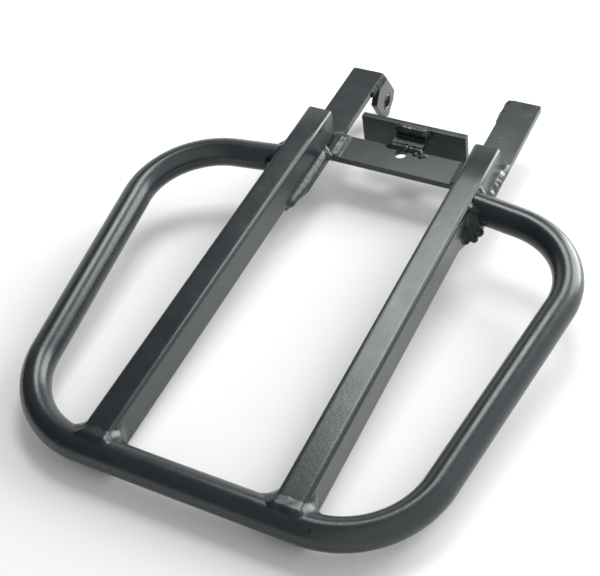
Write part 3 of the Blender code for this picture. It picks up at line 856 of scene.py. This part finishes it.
def build_stop_welds():
    """Bead over the top of the stop bracket and the two tacks at its foot."""
    half = STOP_ANGLE_WIDTH / 2 - 0.0016
    y, z = STOP_PLATE_FRONT_Y - 0.0014, FLAT_TOP_Z + 0.0036
    places = bead_row((STOP_X - half, y, z), (STOP_X + half, y, z), 0.0019, 0.0015, 121, jitter=0.05)
    box = ((STOP_X - 0.0140, STOP_PLATE_FRONT_Y - 0.0075, FLAT_TOP_Z - 0.0015),
           (STOP_X + 0.0140, STOP_PLATE_FRONT_Y + 0.0030, FLAT_TOP_Z + 0.0095))
    build_weld("stop_angle_top_weld", places, [to_stop_angle, to_stop_plate], box,
               blend=0.0022, rough=0.00005, seed=131)

    y, z = CROSSBAR_REAR_Y + 0.0004, FLAT_TOP_Z - 0.0002
    for label, first, last, radius in STOP_TACKS:
        start, end = (STOP_X + first, y, z), (STOP_X + last, y, z)
        places = bead_row(start, end, radius, 0.0017, 141 + len(label), jitter=0.06)
        if label == "right":
            centre = (STOP_X + 0.0112, y - 0.0018, FLAT_TOP_Z + 0.0001)
            places += spatter(centre, (0.0016, 0.0012, 0.0), count=7, seed=151)
        box = ((STOP_X + first - 0.0060, y - 0.0070, FLAT_TOP_Z - 0.0045),
               (STOP_X + last + 0.0060, y + 0.0060, FLAT_TOP_Z + 0.0050))
        build_weld("stop_angle_" + label + "_tack", places, [to_stop_angle, to_crossbar], box,
                   blend=0.0022, rough=0.00005, seed=161 + len(label), cell=FINE_CELL)


# ---------------------------------------------------------------- stage

# Softboxes: name, azimuth, elevation, width, height (degrees) and radiance
SOFTBOXES = (
    ("overhead_softbox", -16, 60, 22, 18, 10.8),
    ("rear_window", 27, 22, 34, 48, 7.6),
    ("low_rear_glow", 10, 7, 60, 10, 4.0),
    ("left_rear_fill", -42, 12, 60, 44, 1.0),
)
SOFTBOX_DISTANCE = 1.6
ROOM_BRIGHT_SIDE = (100, 5)
ROOM_LEVELS = (("From Min", -0.45), ("From Max", 0.60), ("To Min", 0.03), ("To Max", 1.0))
FLOOR_HALF_WIDTH, FLOOR_HALF_DEPTH = 3.0, 4.0
SENSOR_WIDTH, LENS = 36.0, 73.7
CAMERA_SPOT = (0.2330, -0.2256, 0.4628)
CAMERA_FORWARD = (-0.3778, 0.5594, -0.7378)
CAMERA_UP = (-0.2579, 0.7017, 0.6642)


def build_floor():
    """Plain pale floor under the object."""
    bm = bmesh.new()
    across, along = FLOOR_HALF_WIDTH, FLOOR_HALF_DEPTH
    corners = [(-across, -along, 0), (across, -along, 0), (across, along, 0), (-across, along, 0)]
    bm.faces.new([bm.verts.new(point) for point in corners])
    mesh = bpy.data.meshes.new("floor")
    bm.to_mesh(mesh)
    bm.free()
    floor = bpy.data.objects.new("floor", mesh)
    bpy.context.scene.collection.objects.link(floor)
    g = Graph("pale_floor")
    place = g.add("ShaderNodeTexCoord")
    cloud = g.add("ShaderNodeTexNoise", Scale=3.0, Detail=2.0)
    g.join(place, "Object", cloud, "Vector")
    colour = g.ramp(cloud, "Fac", ((0.3, (0.85, 0.85, 0.845)), (0.7, (0.87, 0.87, 0.865))))
    g.join(colour, "Color", g.shader, "Base Color")
    g.shader.inputs["Roughness"].default_value = 0.75
    mesh.materials.append(g.material)


def from_direction(azimuth, elevation, distance):
    """Point at a distance from the object. Azimuth 0 is behind it and 90 is to its right."""
    a, e = math.radians(azimuth), math.radians(elevation)
    return Vector((math.sin(a) * math.cos(e), math.cos(a) * math.cos(e), math.sin(e))) * distance


def add_softbox(name, azimuth, elevation, width_deg, height_deg, radiance):
    """Soft light that fills an angle as seen from the object, with an even radiance."""
    width = 2 * SOFTBOX_DISTANCE * math.tan(math.radians(width_deg / 2))
    height = 2 * SOFTBOX_DISTANCE * math.tan(math.radians(height_deg / 2))
    light = bpy.data.lights.new(name, "AREA")
    light.shape = "RECTANGLE"
    light.size, light.size_y = width, height
    light.energy = radiance * math.pi * width * height
    lamp = bpy.data.objects.new(name, light)
    lamp.location = from_direction(azimuth, elevation, SOFTBOX_DISTANCE)
    lamp.rotation_mode = "QUATERNION"
    lamp.rotation_quaternion = (-lamp.location).to_track_quat("-Z", "Y")
    bpy.context.scene.collection.objects.link(lamp)


def build_world():
    """Soft room: brighter towards the right and the back, dark towards the left."""
    world = bpy.data.worlds.new("soft_room")
    world.use_nodes = True
    tree = world.node_tree
    background = tree.nodes["Background"]
    place = tree.nodes.new("ShaderNodeTexCoord")
    towards = tree.nodes.new("ShaderNodeVectorMath")
    towards.operation = "DOT_PRODUCT"
    towards.inputs[1].default_value = from_direction(*ROOM_BRIGHT_SIDE, 1.0)
    tree.links.new(place.outputs["Generated"], towards.inputs[0])
    level = tree.nodes.new("ShaderNodeMapRange")
    level.interpolation_type = "SMOOTHSTEP"
    for socket, value in ROOM_LEVELS:
        level.inputs[socket].default_value = value
    tree.links.new(towards.outputs["Value"], level.inputs["Value"])
    tree.links.new(level.outputs["Result"], background.inputs["Strength"])
    background.inputs["Color"].default_value = (1.0, 1.0, 1.0, 1.0)
    bpy.context.scene.world = world


def build_camera():
    """Camera at the photograph's angle, given in rack coordinates and placed like the rack."""
    camera = bpy.data.cameras.new("camera")
    camera.sensor_width, camera.lens = SENSOR_WIDTH, LENS
    camera.clip_start, camera.clip_end = 0.01, 20.0
    shot = bpy.data.objects.new("camera", camera)
    forward = Vector(CAMERA_FORWARD).normalized()
    up = Vector(CAMERA_UP).normalized()
    right = forward.cross(up).normalized()
    up = right.cross(forward)
    turn = Matrix((right, up, -forward)).transposed().to_4x4()
    shot.matrix_world = PLACE @ Matrix.Translation(Vector(CAMERA_SPOT)) @ turn
    bpy.context.scene.collection.objects.link(shot)
    bpy.context.scene.camera = shot


build_loop_tube()
for label, side, corner_cut in SIDES:
    build_rail(label, side)
    build_arm(label, side, corner_cut)
    build_ear(label, side)
    build_ear_weld(label, side)
    build_bush(label, side)
    build_front_collar(label, side)
    build_loop_end_weld(label, side)
    build_arm_welds(label, side)
build_crossbar()
build_stop_plate()
build_stop_angle()
build_stop_welds()
build_floor()
for softbox in SOFTBOXES:
    add_softbox(*softbox)
build_world()
build_camera()
bpy.context.scene.view_settings.view_transform = "Standard"
